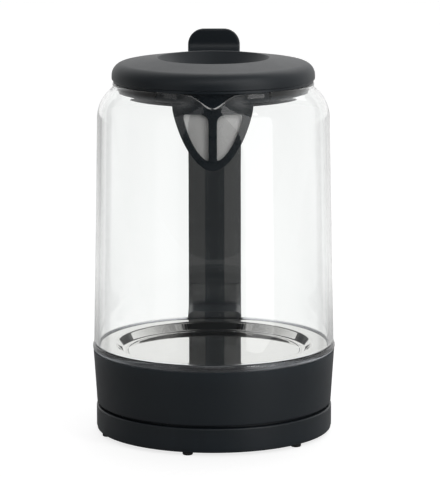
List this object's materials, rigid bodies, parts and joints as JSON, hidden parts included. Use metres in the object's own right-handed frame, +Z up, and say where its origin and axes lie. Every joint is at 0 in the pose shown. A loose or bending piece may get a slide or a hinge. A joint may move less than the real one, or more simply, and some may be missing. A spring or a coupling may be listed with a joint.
{
  "type": "electric kettle",
  "caption": "Cordless glass kettle on a round power base, with a dished hinged lid, thumb tab, spout filter, broad handle and switch paddle.",
  "frame": {"origin": "on the jug's axis, on the surface that the feet stand on", "axes": "+Z up along the jug's axis, -Y towards the spout, +Y towards the handle, +X to the right seen from the front"},
  "size_m": [0.1562, 0.2111, 0.2533],
  "materials": {
    "black_plastic": "moulded black plastic, satin",
    "foot_rubber": "soft black rubber",
    "clear_glass": "clear borosilicate glass",
    "clear_silicone": "translucent grey silicone",
    "white_silicone": "white silicone",
    "polished_steel": "polished stainless steel",
    "plain_steel": "plain steel",
    "steel_mesh": "fine woven steel mesh",
    "cast_aluminium": "bare aluminium",
    "contact_brass": "plain brass",
    "grey_plastic": "moulded grey plastic"
  },
  "bodies": {
    "power_base": {"base_shell": "black_plastic", "base_plate": "black_plastic", "base_feet": "foot_rubber", "base_screws": "plain_steel", "socket_body": "black_plastic", "socket_contacts": "contact_brass", "earth_sleeve": "contact_brass", "shutter_spring": "plain_steel", "cord_gland": "black_plastic"},
    "shutter": {"socket_shutter": "black_plastic"},
    "jug": {"jug_housing": "black_plastic", "jug_bottom_cover": "black_plastic", "bottom_screws": "plain_steel", "clear_ring": "clear_silicone", "plate_seal": "white_silicone", "heater_plate": "polished_steel", "heat_spreader": "cast_aluminium", "heating_element": "cast_aluminium", "control_body": "grey_plastic", "control_screws": "plain_steel", "bimetal_discs": "contact_brass", "connector_ring": "contact_brass", "connector_pin": "contact_brass", "glass_jug": "clear_glass", "collar": "black_plastic", "collar_seal": "foot_rubber", "filter_frame": "black_plastic", "filter_mesh": "steel_mesh", "handle_shell": "black_plastic", "handle_cover": "black_plastic", "handle_screws": "plain_steel", "steam_tube": "white_silicone", "hinge_pin": "plain_steel", "switch_pin": "plain_steel", "rocker_pin": "plain_steel"},
    "lid": {"lid_cover": "black_plastic", "lid_liner": "black_plastic", "lid_gasket": "white_silicone", "lid_screws": "plain_steel", "thumb_tab": "black_plastic"},
    "switch": {"switch_lever": "black_plastic"},
    "rocker": {"trip_rocker": "grey_plastic"}
  },
  "joints": [
    {"name": "jug_swivel", "type": "hinge", "parent": "power_base", "child": "shutter", "pos_m": [0, 0, 0.0093], "axis": [0, 0, 1], "continuous": true},
    {"name": "jug_lift", "type": "slide", "parent": "shutter", "child": "jug", "axis": [0, 0, 1], "range_m": [0, 0.08]},
    {"name": "lid_hinge", "type": "hinge", "parent": "jug", "child": "lid", "pos_m": [0, 0.07032, 0.231], "axis": [-1, 0, 0], "range_deg": [0, 80]},
    {"name": "switch_press", "type": "hinge", "parent": "jug", "child": "switch", "pos_m": [0, 0.06635, 0.036], "axis": [-1, 0, 0], "range_deg": [0, 14]},
    {"name": "rocker_trip", "type": "hinge", "parent": "jug", "child": "rocker", "pos_m": [0, 0.03995, 0.036], "axis": [1, 0, 0], "range_deg": [0, 13]}
  ],
  "couplings": [
    {"joint": "rocker_trip", "follows": "switch_press", "ratio": 0.89761}
  ]
}
